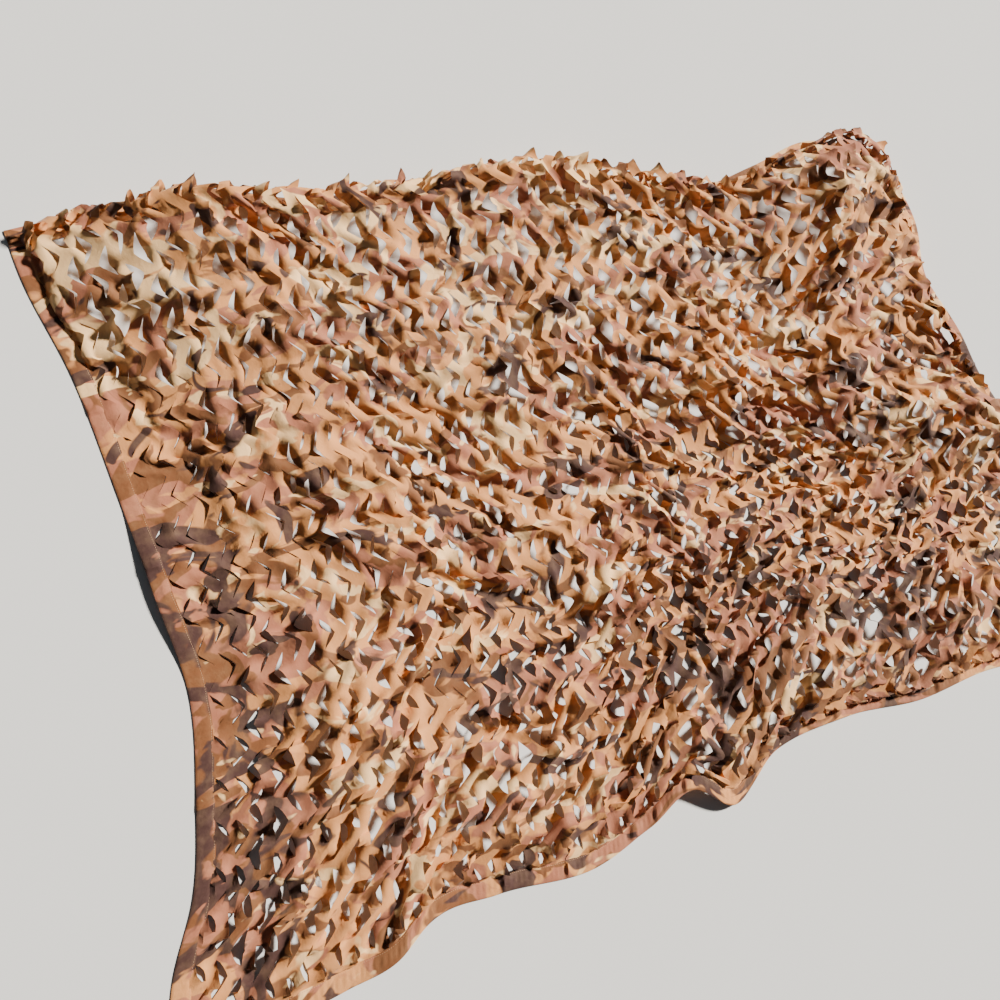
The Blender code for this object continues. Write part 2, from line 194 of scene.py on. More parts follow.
# The cut cloth. Slits stand on staggered lines across the net, and the zigzag strips
# between them hold together by short ligaments.
cut = {
    "lines": 69, "linePitch": 0.0435, "firstLine": 0.071,
    "period": 0.1040, "periods": 21, "firstLigament": 0.050, "swing": 0.021, "pointed": 0.8,
    "quadsAcross": 4, "quadsAlong": 10,       # of one strip, and of one period
    "frontQuads": 5, "backQuads": 11,         # of the uncut ends
    "ligamentQuads": 1,                       # each way from the middle of a ligament
    "calm": 0.02,                             # the zigzag dies away this close to a hem
    "stretch": 1.18, "shrink": 0.92,          # lying size over flat size
    "thickness": 0.00045, "above": 0.0006,    # and height of the middle above the solid's
    "crease": 50,                             # degrees: sharper folds show as an edge
    "openFade": 0.12, "steepest": (0.8, 2.2), # slopes are opened less, within these limits
    # more or less pulled open than the rest, across the lines: x, y, reach, amount
    "openAcross": [(-1.25, 0.12, 0.50, -0.03), (-1.10, -0.70, 0.50, 0.03), (-1.45, 0.80, 0.35, 0.02),
                   (0.10, 0.55, 0.60, 0.08), (0.75, 0.60, 0.35, 0.14), (-0.70, 0.45, 0.40, 0.04),
                   (-0.30, -0.25, 0.26, -0.06), (1.20, -0.30, 0.50, -0.16)],
    # and along them
    "openAlong": [(0.10, 0.60, 0.60, 0.08), (0.40, -0.70, 0.70, -0.08),
                  (-0.80, -0.95, 0.50, -0.06), (1.20, -0.20, 0.60, -0.06)],
    # where the cloth is hardly pulled open at all: x, y, reach, share less
    "slack": [(-1.30, 0.15, 0.50, 0.11), (-1.12, -0.65, 0.45, 0.08), (-1.45, 0.80, 0.35, 0.03),
              (-0.55, -0.95, 0.35, 0.04), (0.25, 0.60, 0.55, -0.03), (1.28, 0.85, 0.50, 0.10)],
    # how far the tongues stand: x, y, reach, amount on top of 1
    "standing": [(-1.25, 0.12, 0.50, -0.55), (-1.05, -0.65, 0.50, -0.40),
                 (0.30, -0.75, 0.80, 0.60), (-0.70, -0.90, 0.50, 0.60),
                 (1.20, -0.20, 0.60, 0.40), (0.10, 0.60, 0.50, 0.20), (-1.00, 0.95, 0.30, 0.50),
                 (0.00, 1.02, 0.30, 0.50), (1.22, 1.00, 0.35, -0.55), (-1.40, 0.80, 0.20, 0.60)],
    "standingLimits": (0.05, 3.0), "skewLimit": 1.5,
    # turn of the tongues in radians, and the share of a tongue that its hinge is in
    "turnRight": 0.42, "turnLeft": -1.00, "turnSpread": 0.70, "turnLimit": 2.2,
    "hinge": 0.16, "hingeSpread": 0.15, "hingeLimit": 0.6, "corners": 0.8, "skew": 0.35,
    # unevenness that fades to the hems: height, length and waves of the large and small
    "looseFade": 0.10, "waveRange": (0.6, 1.8),
    "wander": 0.006, "wanderLength": 0.22, "wanderWaves": 7,
    "crumple": 0.008, "crumpleLength": 0.10, "crumpleWaves": 9, "crumpleLimits": (0.2, 2.0),
    # leaves that hang over an edge die away towards its ends, and inwards past a start
    "overEnds": 0.06, "overInwards": (0.14, 0.22),
    # where they do: start and growth inside the edge, out, up, places
    "over": {
        "back": (0.050, 0.080, 0.030, 0.022,
                 [(-1.52, 0.94, 0.25, 1.0), (-1.00, 0.98, 0.25, 0.4), (-0.50, 0.98, 0.30, 0.6),
                  (0.30, 0.95, 0.40, 0.8)]),
        "right": (0.041, 0.035, 0.042, 0.022,
                  [(1.40, 0.60, 0.35, 0.7), (1.42, 0.27, 0.45, 1.0),
                   (1.55, 0.00, 0.40, 0.8), (1.45, -0.31, 0.40, 0.8)]),
        "left": (0.041, 0.035, 0.034, 0.018, [(-1.57, 0.93, 0.30, 0.8), (-1.50, 0.70, 0.30, 0.6)]),
        "front": (0.041, 0.035, 0.040, 0.020,
                  [(1.33, -0.59, 0.50, 1.0), (0.79, -0.92, 0.50, 1.0), (0.25, -0.92, 0.30, 0.7),
                   (-0.62, -1.05, 0.30, 0.5)]),
    },
}


# Places of the strips' columns and of the rows as they lie, and the flat cloth's own.
# A line's zigzag is a cosine and a share of its third and fifth overtones, over 9 and
# 25 as in a triangle wave.
def cutPattern():
    length, depth, hem = lay["length"], lay["depth"], lay["hem"]
    lines = cut["firstLine"] + cut["linePitch"] * np.arange(cut["lines"])
    borders = np.concatenate([[0.0], lines, [length]])
    quads = cut["quadsAcross"]
    share = np.arange(quads) / quads
    between = borders[:-1, None] * (1 - share) + borders[1:, None] * share
    columns = np.append(between.ravel(), length)
    slitRows = cut["firstLigament"] + cut["period"] / cut["quadsAlong"] * np.arange(
        cut["periods"] * cut["quadsAlong"] + 1)
    rows = np.concatenate([np.linspace(0, slitRows[0], cut["frontQuads"] + 1)[:-1], slitRows,
                           np.linspace(slitRows[-1], depth, cut["backQuads"] + 1)[1:]])
    phase = (rows - cut["firstLigament"]) / cut["period"]

    s, t = np.meshgrid(columns, rows, indexing="ij")
    x, y = plan(s, t)
    z = relief(s, t)
    steepness = np.sqrt(sum(np.gradient(part, columns, axis=0) ** 2 for part in (x, y, z)))
    calm = (fade(np.minimum(s, length - s) - hem, cut["openFade"])
            * fade(np.minimum(t, depth - t) - hem, cut["openFade"]))
    openAcross = (1 + spots(x, y, cut["openAcross"])) / np.clip(steepness, *cut["steepest"])
    lyingS = s + drift(openAcross, calm, s, 0)
    lyingT = t + drift(spots(x, y, cut["openAlong"]), calm, t, 1)

    strips = len(borders) - 1
    column = quads * np.arange(strips)[:, None] + np.arange(quads + 1)
    s, lyingS, lyingT = s[column], lyingS[column], lyingT[column]
    t = np.broadcast_to(rows, s.shape)
    turn = 2 * np.pi * phase
    zigzag = np.cos(turn) + cut["pointed"] * (np.cos(3 * turn) / 9 + np.cos(5 * turn) / 25)
    zigzag = cut["swing"] * zigzag * fade(np.minimum(rows, depth - rows) - hem, cut["calm"])
    zigzag = zigzag * fade(np.minimum(s, length - s) - hem, cut["calm"])
    return lyingS + zigzag, lyingT, s + zigzag, t, phase


# Running sum of what a place is pulled open beyond the mean of its line, so that both
# ends of the line stay where they are.
def drift(amount, calm, place, axis):
    before = [slice(None)] * place.ndim
    after = list(before)
    before[axis], after[axis] = slice(None, -1), slice(1, None)
    before, after = tuple(before), tuple(after)
    weight = (calm[before] + calm[after]) / 2 * (place[after] - place[before])
    amount = (amount[before] + amount[after]) / 2
    mean = (amount * weight).sum(axis, keepdims=True) / (weight.sum(axis, keepdims=True) + 1e-9)
    moved = np.zeros_like(place)
    moved[after] = np.cumsum(weight * (amount - mean), axis)
    return moved


# Rows at which each line between two strips is left uncut.
def ligaments(phase):
    quads = cut["quadsAlong"]
    row = np.rint(phase * quads).astype(int)
    reach = cut["ligamentQuads"]
    tied = np.zeros((cut["lines"], len(phase)), bool)
    for parity in (0, 1):
        tied[parity::2] = (row + parity * quads // 2 + reach) % quads <= 2 * reach
    return tied | (row < 0) | (row >= cut["periods"] * quads)


# Smooth unevenness: a few crossed waves of random direction, length and phase.
def wander(x, y, random, waves, length):
    total = np.zeros_like(x)
    for _ in range(waves):
        turn, start = random.uniform(0, 2 * np.pi, 2)
        rate = 2 * np.pi / (length * random.uniform(*cut["waveRange"]))
        total += np.sin(rate * (x * np.cos(turn) + y * np.sin(turn)) + start)
    return total / np.sqrt(waves / 2)


# Turns the tongues, the parts of a strip that reach out to its ligaments, those on its
# right-hand side one way and those on its left-hand side the other. Past a hinge line a
# tongue is turned by an angle and skewed: along the cloth it comes back by length times
# (1 - cos), and it rises by length times sin. Ligaments alternate from line to line, so
# the tongues of every other strip start half a period on.
def turnedTongues(x, y, phase, random):
    strips, columns, rows = x.shape
    parity = (np.arange(strips) % 2)[:, None] / 2
    share = np.linspace(0, 1, columns)[None, :, None]
    standing = np.clip(1 + spots(x, y, cut["standing"]), *cut["standingLimits"])
    inS, inT, rise = np.zeros((3,) + x.shape)
    sides = [(parity, share, 1, cut["turnRight"]), (0.5 - parity, 1 - share, -1, cut["turnLeft"])]
    for centre, fromHeld, outward, mean in sides:
        turn = phase[None, :] - centre
        free = ((0.5 + 0.5 * np.cos(2 * np.pi * turn)) ** cut["corners"])[:, None, :]
        tongue = np.clip(np.rint(turn).astype(int) + 1, 0, None)
        chance = random.standard_normal((3, strips, tongue.max() + 1))
        bend, hinge, skew = (np.take_along_axis(one, tongue, 1)[:, None, :] for one in chance)
        hinge = np.clip(cut["hinge"] + cut["hingeSpread"] * hinge, 0.0, cut["hingeLimit"])
        bend *= np.sqrt(np.abs(bend)) * cut["turnSpread"]
        angle = np.clip(standing * (mean + bend), -cut["turnLimit"], cut["turnLimit"]) * free
        length = cut["linePitch"] * np.maximum(fromHeld - hinge, 0)
        rise += length * np.sin(angle)
        inS -= outward * length * (1 - np.cos(angle))
        inT += length * cut["skew"] * skew * free * np.minimum(standing, cut["skewLimit"])
    return inS, inT, rise


# Neighbours that keep their flat distance, in groups that share no vertex. Each pair
# lies some columns across and some rows along.
def neighbourGroups(flat, stretch, across, along):
    columns, rows = flat.shape[1:3]
    places = rows if along else columns
    apart = along or across
    groups = []
    for start in range(2 * apart):
        pairs = (places - apart - start + 2 * apart - 1) // (2 * apart)
        if pairs <= 0:
            continue
        firstRun = slice(start, start + 2 * apart * pairs, 2 * apart)
        secondRun = slice(start + apart, start + apart + 2 * apart * pairs, 2 * apart)
        if along:
            first = (slice(None), slice(max(0, -across), columns - max(0, across)), firstRun)
            second = (slice(None), slice(max(0, across), columns - max(0, -across)), secondRun)
        else:
            first = (slice(None), firstRun)
            second = (slice(None), secondRun)
        rest = np.linalg.norm((flat[second] - flat[first]) / stretch[first], axis=-1)[..., None]
        groups.append((first, second, rest))
    return groups


sim = {
    "steps": 50, "sweeps": 2, "seed": 5,
    "along": 1.0, "diagonal": 0.5, "bend": 0.10,    # how stiffly neighbours pull
    "pull": 0.08,                                   # of the surface on the ligaments
    "gravity": 2e-5, "damping": 0.9, "fastest": 0.004, "floor": 0.0018,
    "heldPast": 0.001,                              # inside the hem, which doesn't move
}


# Settles the cloth in steps: every vertex falls a little, neighbours move towards each
# other or apart by what their distance is off, tied strips meet half way, and the
# ligaments lean towards the surface that they lie on.
def settle(place, target, flat, stretch, tied, held):
    springs = [(0, 1, sim["along"]), (1, 0, sim["along"]), (1, 1, sim["diagonal"]),
               (-1, 1, sim["diagonal"]), (0, 2, sim["bend"]), (2, 0, sim["bend"])]
    free = np.where(held, 0.0, 1.0).astype(np.float32)[..., None]
    pairs = []
    for across, along, stiffness in springs:
        for first, second, rest in neighbourGroups(flat, stretch, across, along):
            total = np.maximum(free[first] + free[second], 1.0)
            pairs.append((first, second, rest, stiffness * free[first] / total,
                          stiffness * free[second] / total))
    knots = np.zeros(held.shape, bool)
    knots[:-1, -1] |= tied
    knots[1:, 0] |= tied
    pull = np.where(knots & ~held, sim["pull"], 0.0).astype(np.float32)[..., None]
    speed = np.zeros_like(place)
    for _ in range(sim["steps"]):
        before = place.copy()
        speed *= sim["damping"]
        speed[..., 2] -= sim["gravity"]
        place += speed * free
        for _ in range(sim["sweeps"]):
            for first, second, rest, firstShare, secondShare in pairs:
                gap = place[second] - place[first]
                distance = np.sqrt(np.einsum("...i,...i->...", gap, gap))[..., None] + 1e-9
                gap *= (distance - rest) / distance
                place[first] += firstShare * gap
                place[second] -= secondShare * gap
            middle = (place[:-1, -1] + place[1:, 0]) / 2
            place[:-1, -1][tied] = middle[tied]
            place[1:, 0][tied] = middle[tied]
        np.maximum(place[..., 2], sim["floor"], out=place[..., 2])
        place += pull * (target - place)
        place[held] = target[held]
        speed = np.clip(place - before, -sim["fastest"], sim["fastest"])
    np.maximum(place[..., 2], sim["floor"], out=place[..., 2])
    return place


# Move of the leaves that hang over an edge: grows from the hem inwards, then fades.
def overhang(s, t, x, y):
    move = np.zeros(x.shape + (3,))
    acrossEnds = fade(np.minimum(s, lay["length"] - s) - lay["hem"], cut["overEnds"])
    alongEnds = fade(np.minimum(t, lay["depth"] - t) - lay["hem"], cut["overEnds"])
    lastStart, lastReach = cut["overInwards"]
    sides = (("back", lay["depth"] - t, 0, 1, acrossEnds), ("front", t, 0, -1, acrossEnds),
             ("right", lay["length"] - s, 1, 0, alongEnds), ("left", s, -1, 0, alongEnds))
    for side, inside, outX, outY, ends in sides:
        start, growth, out, up, places = cut["over"][side]
        share = fade(inside - start, growth) * (1 - fade(inside - lastStart, lastReach)) * ends
        share = share * np.minimum(spots(x, y, places), 1.0)
        move += share[..., None] * (outX * out, outY * out, up)
    return move


# Lays the cloth: the cut pattern on the folds, uneven, its tongues turned, then settled.
# Gives the places, the flat places, where strips are tied and each strip's flat width.
def layCloth():
    random = np.random.default_rng(sim["seed"])
    lyingS, lyingT, patternS, patternT, phase = cutPattern()
    tied = ligaments(phase)
    x, y = plan(lyingS, lyingT)
    hem = lay["hem"] + sim["heldPast"]
    held = ((lyingS < hem) | (lyingS > lay["length"] - hem)
            | (lyingT < hem) | (lyingT > lay["depth"] - hem))
    loose = fade(np.minimum(np.minimum(lyingS, lay["length"] - lyingS),
                            np.minimum(lyingT, lay["depth"] - lyingT)) - lay["hem"], cut["looseFade"])
    least, most = cut["crumpleLimits"]
    crumple = cut["crumple"] * (np.clip(1 + spots(x, y, cut["standing"]), least, most) - least)
    sway = [loose * (cut["wander"] * wander(x, y, random, cut["wanderWaves"], cut["wanderLength"])
                     + crumple * wander(x, y, random, cut["crumpleWaves"], cut["crumpleLength"]))
            for _ in range(3)]
    target = np.stack([x, y, relief(lyingS, lyingT) + cut["above"]], -1) + np.stack(sway, -1)
    target += overhang(lyingS, lyingT, x, y)
    inS, inT, rise = turnedTongues(x, y, phase, random)
    outX, outY = plan(lyingS + loose * inS, lyingT + loose * inT)
    place = target + np.stack([outX - x, outY - y, loose * rise], -1)
    place, target = place.astype(np.float32), target.astype(np.float32)
    flat = np.stack([patternS, patternT], -1).astype(np.float32)
    inner = fade(np.minimum(patternT, lay["depth"] - patternT) - lay["hem"], cut["looseFade"])
    pulled = np.maximum(cut["stretch"] * (1 - spots(x, y, cut["slack"])), 1.0)
    stretch = np.stack([1 + (pulled - 1) * inner, np.full_like(inner, cut["shrink"])], -1)
    place = settle(place, target, flat, stretch.astype(np.float32), tied, held)
    widths = (np.diff(flat[..., 0], axis=1) / stretch[:, 1:, :, 0]).sum(1).mean(1)
    rest = np.linalg.norm(np.diff(flat, axis=2) / stretch[:, :, 1:], axis=-1)
    strain = np.linalg.norm(np.diff(place, axis=2), axis=-1) / rest
    print("cloth laid, mean strain", round(float(strain.mean() - 1), 4))
    return place, flat, tied, widths


# How nearly level the two halves of four-cornered faces lie, parted at their first and
# third corner: cosine of the angle between the halves' normals.
def level(corner):
    first = np.cross(corner[:, 1] - corner[:, 0], corner[:, 2] - corner[:, 0])
    second = np.cross(corner[:, 2] - corner[:, 0], corner[:, 3] - corner[:, 0])
    lengths = np.linalg.norm(first, axis=1) * np.linalg.norm(second, axis=1)
    return (first * second).sum(1) / (lengths + 1e-15)


# Gives a sheet its thickness: the vertices move half of it each way along their
# normals, and the open borders are closed by a rim. Faces start at the corner that
# parts them best, on both sides alike.
def thicken(points, faces, thickness):
    turned = np.roll(faces, 1, axis=1)
    faces = np.where((level(points[turned]) > level(points[faces]))[:, None], turned, faces)
    corner = points[faces]
    normal = np.cross(corner[:, 2] - corner[:, 0], corner[:, 3] - corner[:, 1])
    normals = np.zeros_like(points)
    for side in range(4):
        np.add.at(normals, faces[:, side], normal)
    normals /= np.linalg.norm(normals, axis=1, keepdims=True) + 1e-12
    count = len(points)
    start, end = faces.ravel(), np.roll(faces, -1, axis=1).ravel()
    border = ~np.isin(start * count + end, end * count + start)
    start, end = start[border], end[border]
    rim = np.stack([end, start, start + count, end + count], -1)
    shell = np.concatenate([faces, faces[:, [0, 3, 2, 1]] + count, rim])
    offset = normals * thickness / 2
    return np.concatenate([points + offset, points - offset]), shell


# Puts four-cornered faces into a mesh, smooth up to the crease angle in degrees, with
# the places on the flat cloth kept as an attribute.
def makePiece(name, points, faces, flatPlace, finish, crease):
    mesh = bpy.data.meshes.new(name)
    mesh.vertices.add(len(points))
    mesh.vertices.foreach_set("co", points.astype(np.float32).ravel())
    mesh.loops.add(faces.size)
    mesh.loops.foreach_set("vertex_index", faces.astype(np.int32).ravel())
    mesh.polygons.add(len(faces))
    mesh.polygons.foreach_set("loop_start", np.arange(0, faces.size, 4, dtype=np.int32))
    mesh.update(calc_edges=True)
    mesh.validate()
    mesh.polygons.foreach_set("use_smooth", np.ones(len(mesh.polygons), bool))
    mesh.set_sharp_from_angle(angle=np.radians(crease))
    if flatPlace is not None:
        kept = mesh.attributes.new("flatPlace", "FLOAT_VECTOR", "POINT")
        kept.data.foreach_set("vector", flatPlace.astype(np.float32).ravel())
    mesh.materials.append(finish)
    piece = bpy.data.objects.new(name, mesh)
    bpy.context.scene.collection.objects.link(piece)
    return piece


# One output socket of a material's node tree, so that node maths reads as plain
# expressions.
class Signal:
    def __init__(self, tree, socket=None):
        self.tree, self.socket = tree, socket

    # Any node: its type, its settings (a ramp's stops among them) and the values or
    # links of its inputs.
    def node(self, kind, settings, inputs, output=0):
        made = self.tree.nodes.new(kind)
        for name, value in settings.items():
            if name == "stops":
                while len(made.color_ramp.elements) < len(value):
                    made.color_ramp.elements.new(1.0)
                for element, (place, colour) in zip(made.color_ramp.elements, value):
                    element.position, element.color = place, (*colour, 1.0)
            else:
                setattr(made, name, value)
        for name, value in inputs.items():
            if isinstance(value, Signal):
                self.tree.links.new(value.socket, made.inputs[name])
            else:
                made.inputs[name].default_value = value
        return Signal(self.tree, made.outputs[output] if made.outputs else None)

    # Maths on values.
    def maths(self, operation, first, second=0.0, third=0.0):
        inputs = {0: first, 1: second, 2: third}
        return self.node("ShaderNodeMath", {"operation": operation}, inputs)

    # Maths on vectors.
    def vector(self, operation, first, second=(0, 0, 0), output=0):
        inputs = {0: first, 1: second}
        return self.node("ShaderNodeVectorMath", {"operation": operation}, inputs, output)

    def __add__(self, other):
        return self.maths("ADD", self, other)

    def __radd__(self, other):
        return self.maths("ADD", other, self)

    def __sub__(self, other):
        return self.maths("SUBTRACT", self, other)

    def __rsub__(self, other):
        return self.maths("SUBTRACT", other, self)

    def __mul__(self, other):
        return self.maths("MULTIPLY", self, other)

    def __rmul__(self, other):
        return self.maths("MULTIPLY", other, self)

    # Kept within 0 and 1.
    def clamped(self):
        return self.node("ShaderNodeClamp", {}, {"Value": self})

    # Cloudy noise, from 0 to 1, at so many clouds a metre.
    def noise(self, place, scale, detail=2.0, roughness=0.5, distortion=0.0):
        return self.node("ShaderNodeTexNoise", {}, {
            "Vector": place, "Scale": scale, "Detail": detail, "Roughness": roughness,
            "Distortion": distortion})

    # Colour laid over another where the mask is 1.
    def over(self, mask, under, upper, blend="MIX"):
        return self.node("ShaderNodeMix", {"data_type": "RGBA", "blend_type": blend},
                         {0: mask, 6: under, 7: upper}, 2)


# A new material without nodes, and the signal that its nodes start from.
def newMaterial(name):
    material = bpy.data.materials.new(name)
    material.use_nodes = True
    material.node_tree.nodes.clear()
    return material, Signal(material.node_tree)


# Linear colour from a screen colour, 0 to 255: each value over 12.92 where it is low,
# else ((value + 0.055) / 1.055) to the power 2.4.
def linear(red, green, blue):
    values = np.array([red, green, blue]) / 255
    low, high = values / 12.92, ((values + 0.055) / 1.055) ** 2.4
    return (*np.where(values <= 0.04045, low, high).tolist(), 1.0)


printed = {
    "tan": (225, 153, 92), "roseBrown": (178, 111, 83), "sand": (255, 207, 146),
    "brown": (130, 80, 46), "darkMauve": (76, 49, 44), "fade": (255, 211, 156),
    "dust": (122, 92, 74), "glow": (214, 178, 138),
    # blotches laid over the rest: size in metres, share level, edge sharpness, offset
    "roseBlotches": (0.21, 0.540, 30, 3.1), "sandBlotches": (0.17, 0.580, 34, 11.7),
    "brownBlotches": (0.17, 0.585, 34, 23.3), "darkBlotches": (0.18, 0.615, 34, 41.9),
    # shift of a share's level round a place on the cloth: s, t, reach, amount; the darker spots are
    # darker print and partly painted shade, on the left edge and the lower right
    "shadeAndDarkerPrint": [(1.60, 0.42, 0.50, 0.12), (0.00, 0.45, 0.42, 0.16), (2.30, 0.30, 0.60, 0.06),
               (0.03, 1.00, 0.30, 0.15), (0.22, 1.35, 0.32, 0.08), (0.95, 0.60, 0.38, 0.07)],
    # paler spots: more sand print, as painted light on the left slope and the crest
    "litAndPalerPrint": [(0.20, 1.86, 0.42, 0.10), (1.60, 2.05, 0.70, 0.08)],
    # the tapes' print shifted darker overall, darker print and partly painted shade
    "tapeShadeAndDarker": 0.04,
    # the noise that blotches are cut from, squashed across and offset less across
    "cloud": {"detail": 2.6, "roughness": 0.52, "distortion": 0.9},
    "squash": 1.7, "offsetAcross": 0.37,
    # faded and dusty places: noise scale, its detail and roughness, level, slope, most
    "faded": (21.0, 4.0, 0.6, 0.42, 0.9, 0.30), "dusty": (5.0, 3.0, 0.6, 0.40, 1.4, 0.25),
    "weavePitch": 0.0011, "weaveDepth": 0.0002, "weaveStrength": 0.25,
    "crumples": {"scale": 75.0, "detail": 3.0, "roughness": 0.55, "distortion": 0.6},
    "crumpleDepth": 0.0022, "crumpleStrength": 0.5,
    "roughness": 0.70, "roughnessRange": 0.22, "shineScale": 34.0, "shineDetail": 3.0,
    "sheen": 0.12, "sheenRoughness": 0.45, "specular": 0.32, "throughLight": 0.10,
}


# Cone-shaped spots on the cloth: amount times (1 - distance / reach), never below 0.
def near(start, place, table):
    total = start.maths("ADD", 0.0, 0.0)
    for alongS, alongT, reach, amount in table:
        distance = start.vector("DISTANCE", place, (alongS, alongT, 0.0), 1)
        total = total + (1.0 - distance * (1 / reach)).clamped() * amount
    return total


# Mask of wavy blotches: distorted noise, cut off at a level.
def blotches(start, place, shift, size, level, sharpness, offset):
    moved = start.vector("ADD", place, (offset, offset * printed["offsetAcross"], 0.0))
    squashed = start.vector("MULTIPLY", moved, (1.0, printed["squash"], 1.0))
    field = start.noise(squashed, 1 / size, **printed["cloud"])
    return ((field + shift - level) * sharpness + 0.5).clamped()


# Soft mask: noise past a level, times a slope, kept within 0 and 1, times its most.
def worn(start, place, scale, detail, roughness, level, slope, most):
    field = start.noise(place, scale, detail, roughness)
    return ((field - level) * slope).clamped() * most


# Printed cloth: five flat colours in blotches, faded a little here and there, a plain weave of two
# crossed waves, and fine crumples. Near listed places the blotches' shares shift: darker is partly
# painted shade, and paler is painted light.
def printedCloth(name, shadeAndDarkerBias=0.0):
    material, start = newMaterial(name)
    place = start.node("ShaderNodeAttribute", {"attribute_name": "flatPlace"}, {}, 1)
    colour = linear(*printed["tan"])
    # shift towards the darker blotches: darker print and partly painted shade, more of it on the tapes
    shadeAndDarkerPrint = near(start, place, printed["shadeAndDarkerPrint"]) + shadeAndDarkerBias
    # shift towards the sand blotches: painted light on the left slope and the crest, laid in through
    # the print
    litAndPalerPrint = near(start, place, printed["litAndPalerPrint"])
    layers = [("roseBlotches", "roseBrown", shadeAndDarkerPrint), ("brownBlotches", "brown", shadeAndDarkerPrint),
              ("sandBlotches", "sand", litAndPalerPrint - shadeAndDarkerPrint), ("darkBlotches", "darkMauve", shadeAndDarkerPrint)]
    for kind, shade, shift in layers:
        mask = blotches(start, place, shift, *printed[kind])
        colour = start.over(mask, colour, linear(*printed[shade]))
    colour = start.over(worn(start, place, *printed["faded"]), colour, linear(*printed["fade"]))
    dusty = worn(start, place, *printed["dusty"])
    colour = start.over(dusty, colour, linear(*printed["dust"]), "MULTIPLY")
    pitch = printed["weavePitch"]
    along = start.node("ShaderNodeSeparateXYZ", {}, {0: place}, 0)
    across = start.node("ShaderNodeSeparateXYZ", {}, {0: place}, 1)
    warp = start.maths("SINE", along * (2 * np.pi / pitch))
    weft = start.maths("SINE", across * (2 * np.pi / pitch))
    weave = warp * weft * 0.5 + 0.5
    bump = start.node("ShaderNodeBump", {}, {
        "Strength": printed["crumpleStrength"], "Distance": printed["crumpleDepth"],
        "Height": start.noise(place, **printed["crumples"])})
    bump = start.node("ShaderNodeBump", {}, {
        "Strength": printed["weaveStrength"], "Distance": printed["weaveDepth"], "Height": weave,
        "Normal": bump})
    shine = start.noise(place, printed["shineScale"], printed["shineDetail"])
    cloth = start.node("ShaderNodeBsdfPrincipled", {}, {
        "Base Color": colour, "Roughness": printed["roughness"] + shine * printed["roughnessRange"],
        "Normal": bump, "Sheen Weight": printed["sheen"], "Sheen Roughness": printed["sheenRoughness"],
        "Specular IOR Level": printed["specular"]})
    glow = start.node("ShaderNodeBsdfTranslucent", {}, {"Color": linear(*printed["glow"])})
    mixed = start.node("ShaderNodeMixShader", {}, {0: printed["throughLight"], 1: cloth, 2: glow})
    start.node("ShaderNodeOutputMaterial", {}, {0: mixed})
    return material


# One sheet of the strips from first up to last, joined where the cloth is uncut: both
# sides of a ligament use the same vertices.
def clothPiece(name, place, flat, tied, first, last, finish):
    index = np.arange(place[first:last, ..., 0].size).reshape(place[first:last].shape[:3])
    owner = np.arange(index.size)
    joined = tied[first:last - 1]
    owner[index[1:, 0][joined]] = index[:-1, -1][joined]
    corners = np.stack([index[:, :-1, :-1], index[:, 1:, :-1],
                        index[:, 1:, 1:], index[:, :-1, 1:]], -1)
    used, faces = np.unique(owner[corners.reshape(-1, 4)], return_inverse=True)
    points = place[first:last].reshape(-1, 3)[used].astype(float)
    places = flat[first:last].reshape(-1, 2)[used]
    places = np.column_stack([places, np.zeros(len(places))])
    points[:, :2] -= lay["middle"]
    shell, shellFaces = thicken(points, faces.reshape(-1, 4), cut["thickness"])
    piece = makePiece(name, shell, shellFaces, np.tile(places, (2, 1)), finish, cut["crease"])
    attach(piece, "root")
    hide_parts("net_cloth")
    return piece


# Edge tape, folded over the hem and sewn down along its inner edge.
tape = {
    "width": 0.046, "station": 0.0045, "thickness": 0.0006, "joint": 0.041, "overhang": 0.003,
    "crease": 40,                             # degrees: sharper folds show as an edge
    # section, from the lower leaf round the fold to the upper one: inset, level
    "section": [(0.0460, 0.0006), (0.0330, 0.0004), (0.0200, 0.0004), (0.0120, 0.0004),
                (0.0040, 0.0005), (-0.0012, 0.0008), (-0.0027, 0.0015), (-0.0030, 0.0022),
                (-0.0027, 0.0029), (-0.0012, 0.0036), (0.0040, 0.0041), (0.0100, 0.0038),
                (0.0160, 0.0037), (0.0240, 0.0038), (0.0320, 0.0040), (0.0380, 0.0038),
                (0.0415, 0.0033), (0.0440, 0.0033), (0.0460, 0.0031)],
    # the upper leaf's unevenness: where it starts and grows, its heights and its waves
    "upperStart": 0.0022, "upperGrowth": 0.0012,
    "pucker": 0.0008, "puckerLength": 0.017, "puckerShift": 3,
    "wobble": 0.0020, "wave": 0.0034, "waveRates": (23, 41, 67),
    "sideShift": {"front": 0.0, "back": 2.1, "left": 4.4, "right": 5.9},
    # pinched pleats in the upper leaf: side, along, half width, height
    "pleats": [("front", 0.640, 0.008, 0.004), ("front", 0.890, 0.009, 0.008),
               ("front", 1.075, 0.008, 0.008), ("front", 1.290, 0.009, 0.008),
               ("front", 1.370, 0.007, 0.005), ("front", 1.470, 0.008, 0.006),
               ("front", 2.050, 0.008, 0.006), ("front", 2.460, 0.008, 0.006),
               ("left", 0.560, 0.008, 0.005), ("left", 1.180, 0.009, 0.006),
               ("left", 1.620, 0.008, 0.005), ("right", 0.900, 0.008, 0.006)],
    "pleatGentle": 3, "pleatSteep": 1.5,      # wider past its middle, narrower before it
    "pinchStart": 0.12, "pinchPower": 0.7, "pinchIn": 0.5,
    "seam": 0.0415, "stitch": 0.0042, "stitchPitch": 0.0060, "thread": 0.00045,
    "firstStitch": 0.006, "lastStitch": 0.004, "stitchLevel": 0.0037, "dip": 2.2,
    "threadCrease": 60,
}


